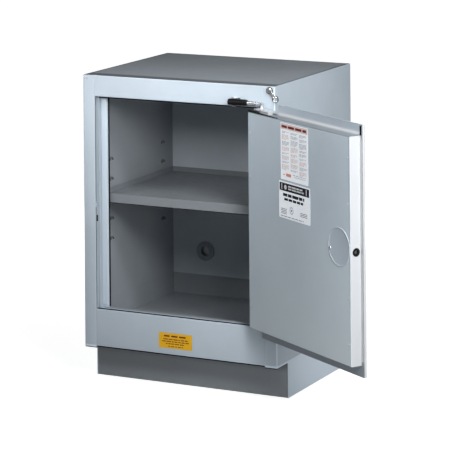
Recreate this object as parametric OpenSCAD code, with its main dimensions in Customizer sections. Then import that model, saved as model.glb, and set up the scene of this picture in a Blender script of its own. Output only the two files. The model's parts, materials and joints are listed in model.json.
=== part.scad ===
// Under-bench flammable storage cabinet, double walled, one self-closing door.
// Origin: centre of the cabinet's footprint on the floor. Front is -Y, up is +Z.
// The door is drawn swung open; the hinge joint closes it.

/* [Cabinet] */
// Width across the side panels
cab_w = 610; // [560:1:700]
// Depth from the front frame to the back panel
cab_d = 515; // [480:1:560]
// Height from the floor to the top panel
cab_h = 876; // [860:1:920]
// Thickness of the sheet steel
sheet = 1.2; // [1:0.1:1.6]
// Air space between the outer and the inner walls
air_gap = 38; // [34:1:42]

/* [Front frame] */
// Width of each jamb's front face
jamb_w = 38.5; // [36:0.5:42]
// Height of the header's front face
header_h = 61; // [56:1:66]
// Height of the sill's upper edge above the floor
sill_z = 207.8; // [200:0.1:215]
// Depth from the frame's face to the door stop
stop_depth = 28; // [27:0.5:30]

/* [Base] */
// Height of the toe space
toe_h = 100; // [90:1:104]
// Depth of the toe space
toe_d = 70; // [50:1:90]
// Distance between the floor bolts, side to side
floor_bolt_x = 520; // [480:1:526]
// Distance between the floor bolts, front to back
floor_bolt_y = 300; // [240:1:320]
// Diameter of the floor bolt holes
floor_hole_d = 11; // [9:0.5:13]

/* [Door] */
// Opening angle at which the door is drawn
door_open = 147.6; // [0:0.1:150]
// Width of the inner pan, from hinge edge to free edge
plug_w = 503; // [495:1:506]
// Overlap of the outer pan past the inner pan's free edge
lap_free = 12; // [6:1:14]
// Height of the door's upper and lower overlaps
lap_end = 30; // [20:1:32]
// Width of the notch that clears the closer
notch_w = 110; // [106:1:120]

/* [Shelf] */
// Height of the lower edge of the shelf's front lip
shelf_z = 507; // [450:1:560]
// Height of the shelf's front lip
shelf_lip = 25; // [20:1:30]

/* [Hidden] */
$fn = 48;

half_w = cab_w / 2;
front_y = -cab_d / 2;
back_y = cab_d / 2;
jamb_x = half_w - jamb_w;              // inner edge of the jamb faces
header_z = cab_h - header_h;           // lower edge of the header
stop_y = front_y + stop_depth;
reveal_y = front_y + 16;               // where the jamb steps in
step_x = jamb_x - 5.5;                 // inner edge after the step
stop_x = step_x - 19.5;                // free edge of the door stop
jamb_back_y = stop_y + 12;
liner_x = half_w - air_gap;            // inner surface of the side liners
liner_y = back_y - air_gap - 4;        // inner surface of the back liner
liner_z = cab_h - air_gap;             // underside of the top liner
tray_floor_z = sill_z - 50.8;          // the tray holds two inches of liquid
tray_rim_z = sill_z + 11;
hem = 5;                               // turned-down edge of the top panel
rim_gap = 0.1;                         // fitting gap between nested sheets
rail_w = 66;
rail_t = 2;
rail_h = 40;
corner_hole_x = half_w - 13;           // small hole in the upper corner of each jamb face
corner_hole_z = cab_h - 11;
slot_in = 3.2;                         // slot in the left reveal, from the frame's face
slot_w = 9;
slot_z = 456;
slot_h = 18.5;
ground_x = -half_w + 45;
ground_z = toe_h + 40;
ground_hole_r = 3.4;
hook_y = [-165, 150];                  // columns of hooks on each side liner
hook_z = 389;                          // lowest hook
hook_pitch = 57.3;
hook_rows = 5;
hook_r = 9.5;

// Door frame: X runs from the hinge axis to the free edge, Y outwards, Z up
hinge_x = jamb_x - 15.5;
hinge_y = front_y - 4.3;
plug_in = -29.5;                       // inner face of the inner pan
lip_y = 2.7;                           // rear of the outer pan
skin_y = 11.7;                         // outer face of the outer pan
plug_z0 = sill_z + 4;
plug_z1 = header_z - 8;
pan_x0 = 14;
pan_x1 = plug_w + lap_free;
pan_z0 = plug_z0 - lap_end;
pan_z1 = plug_z1 + lap_end - 1;
notch_z = plug_z1 + 3;

// Hinge
knuckle_r = 3.6;
pin_r = 1.6;
pin_gap = 0.05;                        // running clearance of the hinge pin
knuckles = 13;
leaf_z0 = plug_z0 + 6;
leaf_z1 = plug_z1 - 6;
knuckle_pitch = (leaf_z1 - leaf_z0) / knuckles;
knuckle_gap = 0.4;
leaf_screws = 6;
leaf_screw_pitch = 109;

// Latch and handle
latch_z = 506.5;
bolt_y = -11;
bolt_r = 5;
bolt_end = plug_w - 2.5;
handle_x = 440;
handle_w = 96;
handle_h = 70;
paddle_lift = 30;
lock_z = latch_z - 62;
lock_r = 11;
paddle_pivot_x = handle_x - handle_w / 2 + 12;
paddle_pivot_y = skin_y - 6;
cover_x = 451;
cover_z = 514;
cover_r = 51;
cover_screw_x = 409;
cover_screw_z = 505;
service_hole_r = 42;                   // opening in the inner pan under the cover
stiffener_x = 250;
door_screw_z = [269, 388, 632, 751];    // rows of small screws up the inner pan

// Labels: place and size of each, from its lower corner
label_t = 0.25;
label_gap = 0.05;
chart_x = 170;
chart_z = 648.5;
chart_w = 135.5;
chart_h = 152.5;
notice_x = 160.5;
notice_z = 544.5;
notice_w = 153.5;
notice_h = 98.5;
sill_label_x = -64;
sill_label_z = 119.5;
sill_label_w = 105;
sill_label_h = 43;

// Vents: one low, one high, on opposite sides of the back
vent_x = 157;
vent_low_z = 291;
vent_high_z = 752;
vent_r = 14;
vent_ring_r = 29;

// Closer
closer_z = 828;
closer_x = 186;                        // trunnions that the closer's body swings on
closer_y = front_y - 11.5;
closer_r = 9;
closer_tail = 18;                      // body behind the trunnions
closer_nose = 34;                      // body in front of the trunnions
gland_len = 3;
plate_t = 1.6;                         // plate of the closer's bracket
closer_screw_x = 9;                    // screws of the closer's bracket, each side of its pivot
closer_screw_r = 1.8;
screw_head_r = 3.2;
screw_head_h = 1.4;
trunnion_r = 3;
eye_x = 18;                            // rod eye's place on the door
eye_y = 5;
rod_r = 6;
rod_neck_r = 3.2;                      // slimmer end that carries the eye
rod_neck_len = 13;
rod_len = 50;                          // from the eye's centre to the rod's inner end
arm_bolt_x = [52, 76];                 // bolts of the door bracket
arm_bolt_y = -9;
arm_z = header_z - 3;                  // upper side of the spacer under the door bracket's arm
eye_world_x = hinge_x + eye_x * cos(180 + door_open) - eye_y * sin(180 + door_open);
eye_world_y = hinge_y + eye_x * sin(180 + door_open) + eye_y * cos(180 + door_open);
rod_reach = norm([eye_world_x - closer_x, eye_world_y - closer_y]);
rod_angle = atan2(eye_world_y - closer_y, eye_world_x - closer_x);

// Fusible link
stud_x = 289.5;
stud_z = 864;
link_len = 29;                         // between the link's eyes
link_hang = 52;                        // angle below the level at rest
link_ring_r = 9.5;
link_ring_hole_r = 5.5;

// A box between two corners
module block(a, b) {
    translate([min(a[0], b[0]), min(a[1], b[1]), min(a[2], b[2])])
        cube([abs(b[0] - a[0]), abs(b[1] - a[1]), abs(b[2] - a[2])]);
}

// A round bar along an axis, from a point
module bar_x(p, r, len) { translate(p) rotate([0, 90, 0]) cylinder(r = r, h = len); }
module bar_y(p, r, len) { translate(p) rotate([-90, 0, 0]) cylinder(r = r, h = len); }
module bar_z(p, r, len) { translate(p) cylinder(r = r, h = len); }

// Puts a part drawn in the door's frame into its place on the cabinet
module on_door() {
    translate([hinge_x, hinge_y, 0]) rotate([0, 0, 180 + door_open]) children();
}

// Puts a part drawn along +X from the closer's pivot into its place
module on_closer() {
    translate([closer_x, closer_y, closer_z]) rotate([0, 0, rod_angle]) children();
}

module at_both_vents() {
    translate([-vent_x, 0, vent_low_z]) children();
    translate([vent_x, 0, vent_high_z]) children();
}

// Side wall and jamb in one folded sheet, drawn for the left side
module side_shell() {
    // outer wall, cut away for the toe space
    block([-half_w, front_y, toe_h - 1.5], [-half_w + sheet, back_y, cab_h - hem - rim_gap]);
    block([-half_w, front_y + toe_d, 0], [-half_w + sheet, back_y, toe_h]);
    // jamb face and the first part of the reveal
    block([-half_w, front_y, toe_h - 1.5], [-jamb_x, front_y + sheet, cab_h - hem - rim_gap]);
    block([-jamb_x - sheet, front_y, toe_h - 1.5], [-jamb_x, reveal_y, cab_h - hem - rim_gap]);
    // step, second part of the reveal, door stop and return, between sill and header
    block([-jamb_x - sheet, reveal_y - sheet, stop_z0()], [-step_x, reveal_y, stop_z1()]);
    block([-step_x - sheet, reveal_y - sheet, stop_z0()], [-step_x, stop_y + sheet, stop_z1()]);
    block([-step_x - sheet, stop_y, stop_z0()], [-stop_x, stop_y + sheet, stop_z1()]);
    block([-stop_x - sheet, stop_y, stop_z0()], [-stop_x, jamb_back_y, stop_z1()]);
    block([-liner_x - sheet, jamb_back_y - sheet, stop_z0()], [-stop_x, jamb_back_y, stop_z1()]);
}

function stop_z0() = sill_z + 0.7;
function stop_z1() = header_z - 0.5;

module side_left() {
    color("silver") difference() {
        side_shell();
        block([-jamb_x - 2 * sheet, front_y + slot_in, slot_z],
            [-jamb_x + sheet, front_y + slot_in + slot_w, slot_z + slot_h]);
        bar_x([-jamb_x - 2 * sheet, hinge_y - bolt_y, latch_z], bolt_r + 0.8, 3 * sheet);
        bar_y([-corner_hole_x, front_y - 1, corner_hole_z], 1.6, 3);
    }
}

module side_right() {
    color("silver") difference() {
        mirror([1, 0, 0]) side_shell();
        bar_y([corner_hole_x, front_y - 1, corner_hole_z], 1.6, 3);
        bar_y([stud_x, front_y - 1, stud_z], 3.05, 3);
    }
}

module top_panel() {
    color("dimgray") difference() {
        block([-half_w, front_y, cab_h - hem], [half_w, back_y, cab_h]);
        block([-half_w + sheet, front_y + sheet, cab_h - hem - 1],
            [half_w - sheet, back_y - sheet, cab_h - sheet]);
    }
}

module back_panel() {
    color("silver") difference() {
        block([-half_w + sheet, back_y - sheet, 0], [half_w - sheet, back_y, cab_h - hem - rim_gap]);
        at_both_vents() bar_y([0, back_y - 2 * sheet, 0], vent_r + 4, 4 * sheet);
        bar_y([ground_x, back_y - 2 * sheet, ground_z], ground_hole_r, 4 * sheet);
    }
}

module bottom_panel() {
    color("gray") block([-half_w + sheet, reveal_y + 1, toe_h],
        [half_w - sheet, back_y - sheet, toe_h + sheet]);
}

module header() {
    x = jamb_x - rim_gap;
    z1 = cab_h - hem - rim_gap;
    color("lightgray") difference() {
        union() {
            block([-x, front_y, header_z], [x, front_y + sheet, z1]);
            block([-x, front_y, header_z], [x, stop_y, header_z + sheet]);
            block([-x, stop_y - sheet, header_z], [x, stop_y, liner_z - rim_gap]);
        }
        for (s = [-closer_screw_x, closer_screw_x])
            bar_y([closer_x + s, front_y - 1, closer_z], closer_screw_r + 0.1, 3);
    }
}

module sill() {
    x = jamb_x - rim_gap;
    color("silver") {
        block([-x, front_y, toe_h + 2], [x, front_y + sheet, sill_z]);
        block([-x, front_y, sill_z - sheet], [x, stop_y, sill_z]);
        block([-x, stop_y - sheet, sill_z - 14], [x, stop_y, sill_z]);
        block([-x, front_y, toe_h + 2], [x, reveal_y, toe_h + 2 + sheet]);
    }
}

module liner_side(side) {
    x0 = side * liner_x;
    block([x0, jamb_back_y, tray_floor_z], [x0 + side * sheet, liner_y, liner_z]);
}

module liner_left() { color("gray") liner_side(-1); }
module liner_right() { color("gray") liner_side(1); }

module liner_back() {
    color("gray") difference() {
        block([-liner_x, liner_y, tray_floor_z], [liner_x, liner_y + sheet, liner_z]);
        at_both_vents() bar_y([0, liner_y - sheet, 0], vent_r + 4, 4 * sheet);
    }
}

module liner_top() {
    color("gray") block([-liner_x, stop_y, liner_z], [liner_x, liner_y + sheet, liner_z + sheet]);
}

// Leak-tight tray: floor, three tall walls and a low front wall with a rim
module sump_tray() {
    x = liner_x - rim_gap;
    y0 = jamb_back_y + 1;
    y1 = liner_y - rim_gap;
    color("gray") {
        block([-x, y0, tray_floor_z], [x, y1, tray_floor_z + sheet]);
        for (s = [-1, 1]) block([s * x, y0, tray_floor_z], [s * (x - sheet), y1, tray_rim_z]);
        block([-x, y1 - sheet, tray_floor_z], [x, y1, tray_rim_z]);
        block([-x, y0, tray_floor_z], [x, y0 + sheet, sill_z - 1.2]);
        block([-x, stop_y + 1, sill_z - 1.2 - sheet], [x, y0 + sheet, sill_z - 1.2]);
    }
}

module toe_kick() {
    color("dimgray") block([-half_w + sheet, front_y + toe_d + 2, 0],
        [half_w - sheet, front_y + toe_d + 2 + sheet, toe_h - rim_gap]);
}

// Angle along the bottom of each side wall, with the floor bolt holes
module base_rail(side) {
    x0 = side * (half_w - sheet);
    y0 = front_y + toe_d + 6;
    y1 = back_y - 10;
    color("dimgray") difference() {
        union() {
            block([x0, y0, 0], [x0 - side * rail_w, y1, rail_t]);
            block([x0, y0, 0], [x0 - side * rail_t, y1, rail_h]);
        }
        for (s = [-1, 1])
            bar_z([side * floor_bolt_x / 2, s * floor_bolt_y / 2, -1], floor_hole_d / 2, rail_t + 2);
    }
}

module base_rail_left() { base_rail(-1); }
module base_rail_right() { base_rail(1); }

module base_rail_rear() {
    x = half_w - sheet - rail_w - 2;
    y0 = back_y - sheet;
    color("dimgray") {
        block([-x, y0, 0], [x, y0 - rail_h, rail_t]);
        block([-x, y0, 0], [x, y0 - rail_t, rail_h]);
    }
}

// Filler between the right jamb and the hinge
module hinge_stile() {
    color("silver") {
        block([hinge_x + 1.5, front_y, stop_z0()], [jamb_x - rim_gap, front_y + sheet, stop_z1()]);
        block([jamb_x - sheet - rim_gap, front_y, stop_z0()],
            [jamb_x - rim_gap, reveal_y - 2 * sheet, stop_z1()]);
    }
}

module stop_gasket() {
    color("dimgray") for (s = [-1, 1])
        block([s * (step_x - 1), stop_y - 1.2, sill_z + 8], [s * (stop_x + 2), stop_y, header_z - 8]);
}

// Half-ring hooks in two columns on each side liner
module wall_hooks() {
    color("gray") for (s = [-1, 1], y = hook_y, n = [0 : hook_rows - 1])
        translate([s * liner_x, y, hook_z + n * hook_pitch]) rotate([0, -90 * s, 0]) difference() {
            cylinder(r = hook_r, h = 4);
            translate([0, 0, -1]) cylinder(r = hook_r - 3.5, h = 6);
            block([0, -hook_r - 1, -1], [hook_r + 1, hook_r + 1, 6]);
        }
}

// Tray-shaped shelf with a front lip, a rolled bead and upturned side and rear edges
module shelf() {
    x = liner_x - 7;
    y0 = jamb_back_y + 3;
    y1 = liner_y - 14;
    deck_z = shelf_z + shelf_lip - 6;
    color("gray") {
        block([-x, y0, deck_z], [x, y1, deck_z + sheet]);
        block([-x, y0, shelf_z], [x, y0 + sheet, shelf_z + shelf_lip]);
        block([-x, y0, shelf_z], [x, y0 + 12, shelf_z + sheet]);
        bar_x([-x, y0 + 1.8, shelf_z + shelf_lip - 1.8], 1.8, 2 * x);
        for (s = [-1, 1]) block([s * x, y0, deck_z], [s * (x - sheet), y1, deck_z + 16]);
        block([-x, y1 - sheet, deck_z], [x, y1, deck_z + 16]);
    }
}

// Clips that hang on the wall hooks and carry the shelf
module shelf_brackets() {
    x1 = liner_x - rim_gap;
    z1 = shelf_z + shelf_lip - 6 - rim_gap;
    color("silver") for (s = [-1, 1], y = hook_y) {
        block([s * x1, y - 14, z1 - 2], [s * (x1 - 22), y + 14, z1]);
        difference() {
            block([s * x1, y - 14, z1 - 34], [s * (x1 - 2), y + 14, z1]);
            bar_x([-half_w, y, hook_z + 2 * hook_pitch], hook_r + 0.4, cab_w);
        }
    }
}

// Through-tubes with an inside flange, joined to both back walls
module vent_collars() {
    color("silver") at_both_vents() difference() {
        union() {
            bar_y([0, liner_y - 4, 0], vent_ring_r, 4);
            bar_y([0, liner_y - 5.5, 0], vent_r + 5, 3);
            bar_y([0, liner_y - 4, 0], vent_r + 3.5, back_y - liner_y + 7);
        }
        bar_y([0, liner_y - 7, 0], vent_r, back_y - liner_y + 20);
    }
}

module flame_screens() {
    color("darkgray") at_both_vents() bar_y([0, liner_y + 6, 0], vent_r - 0.3, 1);
}

// Screwed plug that closes a vent from outside; drawn about its own axis
module vent_plug() {
    y0 = back_y + 3.2;
    difference() {
        union() {
            bar_y([0, y0 - 14, 0], vent_r - 0.06, 14);
            bar_y([0, y0, 0], vent_r + 8, 4);
            translate([0, y0 + 4, 0]) rotate([-90, 0, 0]) cylinder(r = 9, h = 6, $fn = 6);
        }
        bar_y([0, y0 - 15, 0], vent_r - 3, 12);
    }
}

module vent_plug_lower() { color("dimgray") translate([-vent_x, 0, vent_low_z]) vent_plug(); }
module vent_plug_upper() { color("dimgray") translate([vent_x, 0, vent_high_z]) vent_plug(); }

module ground_stud() {
    color("goldenrod") {
        bar_y([ground_x, back_y - 6, ground_z], 3.3, 12.5);
        bar_y([ground_x, back_y + 6.5, ground_z], 2.95, 14);
        bar_y([ground_x, back_y - sheet - 3, ground_z], 6, 3);
    }
}

module ground_nut() {
    color("goldenrod") translate([ground_x, back_y, ground_z]) rotate([-90, 0, 0]) difference() {
        union() {
            cylinder(r = 6.5, h = 1.2);
            translate([0, 0, 1.2]) cylinder(r = 5.8, h = 5, $fn = 6);
        }
        translate([0, 0, -1]) cylinder(r = 3.35, h = 9);
    }
}

module frame_screws() {
    color("silver") {
        for (z = [toe_h + 60, 330, 560, 790], s = [-1, 1])
            bar_y([s * (half_w - 20), back_y, z], 4, 1.6);
        for (x = [-230, -77, 77, 230], z = [18, cab_h - 20])
            bar_y([x, back_y, z], 4, 1.6);
    }
}

// A row of knuckles about the hinge axis; leaf 0 takes the even ones, leaf 1 the odd ones
module knuckle_row(leaf, a, b) {
    for (n = [leaf : 2 : knuckles - 1]) {
        z = leaf_z0 + n * knuckle_pitch + knuckle_gap / 2;
        len = knuckle_pitch - knuckle_gap;
        difference() {
            union() {
                bar_z([0, 0, z], knuckle_r, len);
                block([a[0], a[1], z], [b[0], b[1], z + len]);
            }
            bar_z([0, 0, z - 1], pin_r + pin_gap, len + 2);
        }
    }
}

module hinge_leaf_frame() {
    leaf_y = front_y - hinge_y;
    color("silver") translate([hinge_x, hinge_y, 0]) {
        knuckle_row(0, [0, leaf_y - 1.4], [6, leaf_y]);
        difference() {
            block([5.5, leaf_y - 1.4, leaf_z0], [14.5, leaf_y, leaf_z1]);
            for (n = [0 : leaf_screws - 1])
                bar_y([10, leaf_y - 2, leaf_z0 + 20 + n * leaf_screw_pitch], 1.6, 3);
        }
    }
}

module hinge_leaf_door() {
    color("silver") on_door() {
        knuckle_row(1, [0, knuckle_r - 1.4], [6, knuckle_r]);
        block([5.5, knuckle_r - 1.4, leaf_z0], [pan_x0 + 6, knuckle_r, leaf_z1]);
    }
}

module hinge_pin() {
    color("silver") {
        bar_z([hinge_x, hinge_y, leaf_z0 - 1.2], pin_r, leaf_z1 - leaf_z0 + 2.4);
        bar_z([hinge_x, hinge_y, leaf_z0 - 2.6], 2.6, 1.6);
    }
}

// Outer pan: skin, turned edges and a rear lip that laps over the frame
module door_outer_pan() {
    color("lightgray") on_door() difference() {
        union() {
            difference() {
                block([pan_x0, lip_y, pan_z0], [pan_x1, skin_y, pan_z1]);
                // hollow inside
                block([pan_x0 + sheet, lip_y + sheet, pan_z0 + sheet],
                    [pan_x1 - sheet, skin_y - sheet, pan_z1 - sheet]);
                // open towards the inner pan
                block([pan_x0 - 1, lip_y - 1, plug_z0 + 10],
                    [plug_w - 10, lip_y + 2 * sheet, plug_z1 - 10]);
                // notch for the closer
                block([pan_x0 - 1, lip_y - 1, notch_z], [notch_w, skin_y + 1, pan_z1 + 1]);
            }
            // edges of the notch
            block([pan_x0, lip_y, notch_z - sheet], [notch_w + sheet, skin_y, notch_z]);
            block([notch_w, lip_y, notch_z - sheet], [notch_w + sheet, skin_y, pan_z1]);
        }
        // hinge leaf recess
        block([pan_x0 - 1, lip_y - 1, leaf_z0 - 1], [pan_x0 + 7, knuckle_r + 0.02, leaf_z1 + 1]);
        // handle and lock openings
        block([handle_x - handle_w / 2, lip_y, latch_z - handle_h / 2],
            [handle_x + handle_w / 2, skin_y + 1, latch_z + handle_h / 2]);
        bar_y([handle_x, lip_y, lock_z], lock_r + 0.1, 12);
    }
}

// Inner pan: a tray whose face looks into the cabinet when the door is shut
module door_inner_pan() {
    front = lip_y - rim_gap;
    joggle = -5.2;
    color("silver") on_door() difference() {
        union() {
            block([0, plug_in, plug_z0], [plug_w, plug_in + sheet, plug_z1]);
            block([0, plug_in, plug_z0], [sheet, joggle, plug_z1]);
            block([0, joggle - sheet, plug_z0], [8, joggle, plug_z1]);
            block([8 - sheet, joggle - sheet, plug_z0], [8, 2.1, plug_z1]);
            block([plug_w - sheet, plug_in, plug_z0], [plug_w, front, plug_z1]);
            for (z = [plug_z0, plug_z1 - sheet]) {
                block([8 - sheet, plug_in, z], [plug_w, front, z + sheet]);
                block([0, plug_in, z], [8, joggle, z + sheet]);
            }
        }
        bar_x([plug_w - 2 * sheet, bolt_y, latch_z], 10.1, 3 * sheet);
        bar_y([cover_x, plug_in - 1, cover_z], service_hole_r, 4);
        bar_y([cover_screw_x, plug_in - 1, cover_screw_z], 2.1, 4);
        for (x = arm_bolt_x) bar_z([x, arm_bolt_y, plug_z1 - 3], 2.7, 4);
    }
}

// Hat-section stiffener up the middle of the door
module door_stiffener() {
    x0 = stiffener_x;
    z0 = plug_z0 + 12;
    z1 = plug_z1 - 12;
    y0 = plug_in + sheet;
    y1 = skin_y - sheet;
    color("gray") on_door() {
        block([x0 - 20, y0, z0], [x0 + sheet, y0 + sheet, z1]);
        block([x0, y0, z0], [x0 + sheet, y1, z1]);
        block([x0, y1 - sheet, z0], [x0 + 30, y1, z1]);
        block([x0 + 30 - sheet, y0, z0], [x0 + 30, y1, z1]);
        block([x0 + 30 - sheet, y0, z0], [x0 + 50, y0 + sheet, z1]);
    }
}

// Open box that guides the latch bolt behind the handle cup
module latch_case() {
    x0 = 402;
    x1 = plug_w - 8;
    y0 = bolt_y - 10;
    y1 = bolt_y + 9.8;
    wall = 1.3;
    z0 = latch_z - 14;
    z1 = latch_z + 14;
    color("darkgray") on_door() difference() {
        block([x0, y0, z0], [x1, y1, z1]);
        block([x0 + wall, y0 + wall, z0 + wall], [x1 - wall, y1 - wall, z1 - wall]);
        bar_x([x0 - 1, bolt_y, latch_z], bolt_r + 0.06, x1 - x0 + 2);
    }
}

module latch_bolt() {
    color("silver") on_door() {
        bar_x([bolt_end - 110, bolt_y, latch_z], bolt_r, 108);
        translate([bolt_end - 2, bolt_y, latch_z]) rotate([0, 90, 0])
            rotate_extrude() polygon([[0, 0], [bolt_r, 0], [bolt_r - 1.5, 2], [0, 2]]);
        // shoulder that the spring pushes on
        bar_x([bolt_end - 40, bolt_y, latch_z], bolt_r + 2.4, 3);
    }
}

// Coils round the bolt, drawn as rings joined by a side bar
module latch_spring() {
    coils = 8;
    pitch = 5;
    coil_r = bolt_r + 0.9;
    color("gray") on_door() translate([406, bolt_y, latch_z]) rotate([0, 90, 0]) {
        for (n = [0 : coils])
            translate([0, 0, n * pitch + 1]) rotate_extrude() translate([coil_r, 0]) circle(r = 0.6);
        translate([coil_r, 0, 0.6]) cylinder(r = 0.5, h = coils * pitch + 0.8);
    }
}

module bolt_bush() {
    color("dimgray") on_door() difference() {
        union() {
            bar_x([plug_w - 4, bolt_y, latch_z], 10, 4.6);
            bar_x([plug_w, bolt_y, latch_z], 11, 0.6);
        }
        bar_x([plug_w - 5, bolt_y, latch_z], bolt_r + 0.6, 8);
    }
}

module handle_cup() {
    x0 = handle_x - handle_w / 2;
    x1 = handle_x + handle_w / 2;
    z0 = latch_z - handle_h / 2;
    z1 = latch_z + handle_h / 2;
    wall = 1.5;
    floor_y = bolt_y + 10;
    color("dimgray") on_door() difference() {
        union() {
            block([x0 - 6, skin_y, z0 - 6], [x1 + 6, skin_y + 1.5, z1 + 6]);
            block([x0 + 0.1, floor_y, z0 + 0.1], [x1 - 0.1, skin_y + 1, z1 - 0.1]);
        }
        block([x0 + wall, floor_y + wall, z0 + wall], [x1 - wall, skin_y + 2, z1 - wall]);
        bar_z([paddle_pivot_x, paddle_pivot_y, z0 - 1], 2, handle_h + 2);
    }
}

// Lifting paddle with its pivot barrel, drawn pulled open
module handle_paddle() {
    z0 = latch_z - handle_h / 2 + 3;
    z1 = latch_z + handle_h / 2 - 3;
    reach = handle_w - 28;
    color("black") on_door() translate([paddle_pivot_x, paddle_pivot_y, 0]) rotate([0, 0, paddle_lift])
        difference() {
            union() {
                bar_z([0, 0, z0], 4.5, z1 - z0);
                block([0, 0.5, z0], [reach, 4.5, z1]);
                block([reach - 3, -5, z0], [reach, 4.5, z1]);
            }
            bar_z([0, 0, z0 - 1], 2.05, z1 - z0 + 2);
        }
}

module handle_pin() {
    z0 = latch_z - handle_h / 2 + 0.4;
    color("silver") on_door() bar_z([paddle_pivot_x, paddle_pivot_y, z0], 2, handle_h - 0.8);
}

module lock_cylinder() {
    color("silver") on_door() translate([handle_x, 0, lock_z]) difference() {
        union() {
            bar_y([0, -12, 0], lock_r, 25);
            bar_y([0, skin_y + 0.1, 0], 13, 2.4);
            block([-3, -15, -3], [3, -12, 24]);
        }
        block([-0.9, skin_y - 4, -4.5], [0.9, skin_y + 4, 4.5]);
    }
}

// Round plate over the latch's service opening, held by one screw
module access_cover() {
    color("silver") on_door() difference() {
        bar_y([cover_x, plug_in - 1.3, cover_z], cover_r, 1.2);
        bar_y([cover_screw_x, plug_in - 2, cover_screw_z], 2.1, 4);
    }
}

module cover_screw() {
    color("white") on_door() {
        bar_y([cover_screw_x, plug_in - 3.1, cover_screw_z], 4.2, 1.7);
        bar_y([cover_screw_x, plug_in - 3.1, cover_screw_z], 2, 4.1);
        bar_y([cover_screw_x, plug_in + sheet + 0.1, cover_screw_z], 3.5, 2);
    }
}

module door_screws() {
    color("silver") on_door() for (z = door_screw_z, x = [12, plug_w - 10])
        bar_y([x, plug_in - 0.7, z], 2.2, 0.7);
}

// Printed label stuck on the inner pan
module door_label(x, z, w, h) {
    block([x, plug_in - label_gap - label_t, z], [x + w, plug_in - label_gap, z + h]);
}

module chart_label() {
    color("white") on_door() door_label(chart_x, chart_z, chart_w, chart_h);
}

module notice_label() {
    color("white") on_door() door_label(notice_x, notice_z, notice_w, notice_h);
}

module sill_label() {
    color("orange") block([sill_label_x, front_y - label_gap - label_t, sill_label_z],
        [sill_label_x + sill_label_w, front_y - label_gap, sill_label_z + sill_label_h]);
}

// Repeats a shape, drawn about the Y axis, at each screw of the closer's bracket
module at_closer_screws() {
    for (s = [-closer_screw_x, closer_screw_x]) translate([closer_x + s, 0, closer_z]) children();
}

// Cone of a sunk screw head whose flat face is at y
module sunk_head(y, gap) {
    translate([0, y, 0]) rotate([-90, 0, 0])
        cylinder(r1 = screw_head_r + gap, r2 = closer_screw_r + gap, h = screw_head_h);
}

// Bracket on the header: a plate behind the closer and an ear above and below it
module closer_bracket() {
    ear_z = closer_r + 0.6;
    plate_z = closer_z - ear_z - 2;
    color("silver") difference() {
        union() {
            block([closer_x - 14, front_y - plate_t, plate_z],
                [closer_x + 14, front_y, closer_z + ear_z + 2]);
            for (z = [plate_z, closer_z + ear_z])
                block([closer_x - 6, closer_y - 5, z], [closer_x + 6, front_y, z + 2]);
        }
        bar_z([closer_x, closer_y, closer_z - ear_z - 3], trunnion_r + 0.05, 2 * ear_z + 6);
        at_closer_screws() {
            sunk_head(front_y - plate_t, 0.1);
            bar_y([0, front_y - plate_t, 0], closer_screw_r + 0.1, 2 * plate_t);
        }
    }
}

module closer_screws() {
    color("silver") at_closer_screws() {
        sunk_head(front_y - plate_t, 0);
        bar_y([0, front_y - plate_t, 0], closer_screw_r, 8);
    }
}

// Gas-damped body with its trunnions and end gland
module closer_cylinder() {
    color("black") on_closer() difference() {
        union() {
            bar_x([-closer_tail, 0, 0], closer_r, closer_tail + closer_nose);
            bar_x([closer_nose, 0, 0], closer_r - 1, gland_len);
            bar_z([0, 0, -closer_r - 2.4], trunnion_r, 2 * closer_r + 4.8);
        }
        bar_x([2 - closer_tail, 0, 0], rod_r + 0.05, closer_tail + closer_nose + gland_len);
    }
}

// Bright rod with an eye that turns over the door bracket's pin
module closer_rod() {
    color("silver") on_closer() difference() {
        union() {
            bar_x([rod_reach - rod_len, 0, 0], rod_r, rod_len - rod_neck_len);
            bar_x([rod_reach - rod_neck_len - 1, 0, 0], rod_neck_r, rod_neck_len - 4);
            bar_z([rod_reach, 0, -2.5], 6.5, 5);
        }
        bar_z([rod_reach, 0, -3], 3.1, 6);
    }
}

// Folded arm on top of the door that carries the pin under the rod's eye
module door_bracket() {
    color("silver") on_door() difference() {
        union() {
            block([42, -16, plug_z1], [86, -2, arm_z]);
            block([9, -16, arm_z], [86, 9.5, arm_z + 2.4]);
            bar_z([eye_x, eye_y, arm_z], 4.4, 5);
            bar_z([eye_x, eye_y, arm_z], 3, closer_z - 3.4 - arm_z);
        }
        for (x = arm_bolt_x) bar_z([x, arm_bolt_y, plug_z1 - 1], 2.6, 12);
    }
}

module door_bracket_bolts() {
    color("silver") on_door() for (x = arm_bolt_x) {
        bar_z([x, arm_bolt_y, plug_z1 - 4], 2.6, 12);
        bar_z([x, arm_bolt_y, plug_z1 - 4], 4.2, 2.8);
    }
}

// Shouldered stud on the right jamb that carries the fusible link
module link_stud() {
    color("silver") {
        bar_y([stud_x, front_y - 6.5, stud_z], 3, 12);
        bar_y([stud_x, front_y - 8, stud_z], 6, 1.6);
        bar_y([stud_x, front_y - 1, stud_z], 6, 1);
    }
}

// Two plates soldered face to face, with an eye at each end
module fusible_link() {
    y0 = front_y - 5.4;
    color("goldenrod") translate([stud_x, y0, stud_z]) rotate([0, link_hang, 0]) difference() {
        union() {
            bar_y([0, 0, 0], 8, 1.6);
            block([0, 0, -5], [link_len * 0.62, 1.6, 5]);
            block([link_len * 0.35, 1.6, -5], [link_len - 7, 3.2, 5]);
            bar_y([link_len, 1.6, 0], link_ring_r, 1.6);
        }
        bar_y([0, -1, 0], 3.06, 4);
        bar_y([link_len, -1, 0], link_ring_hole_r, 6);
    }
}

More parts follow.
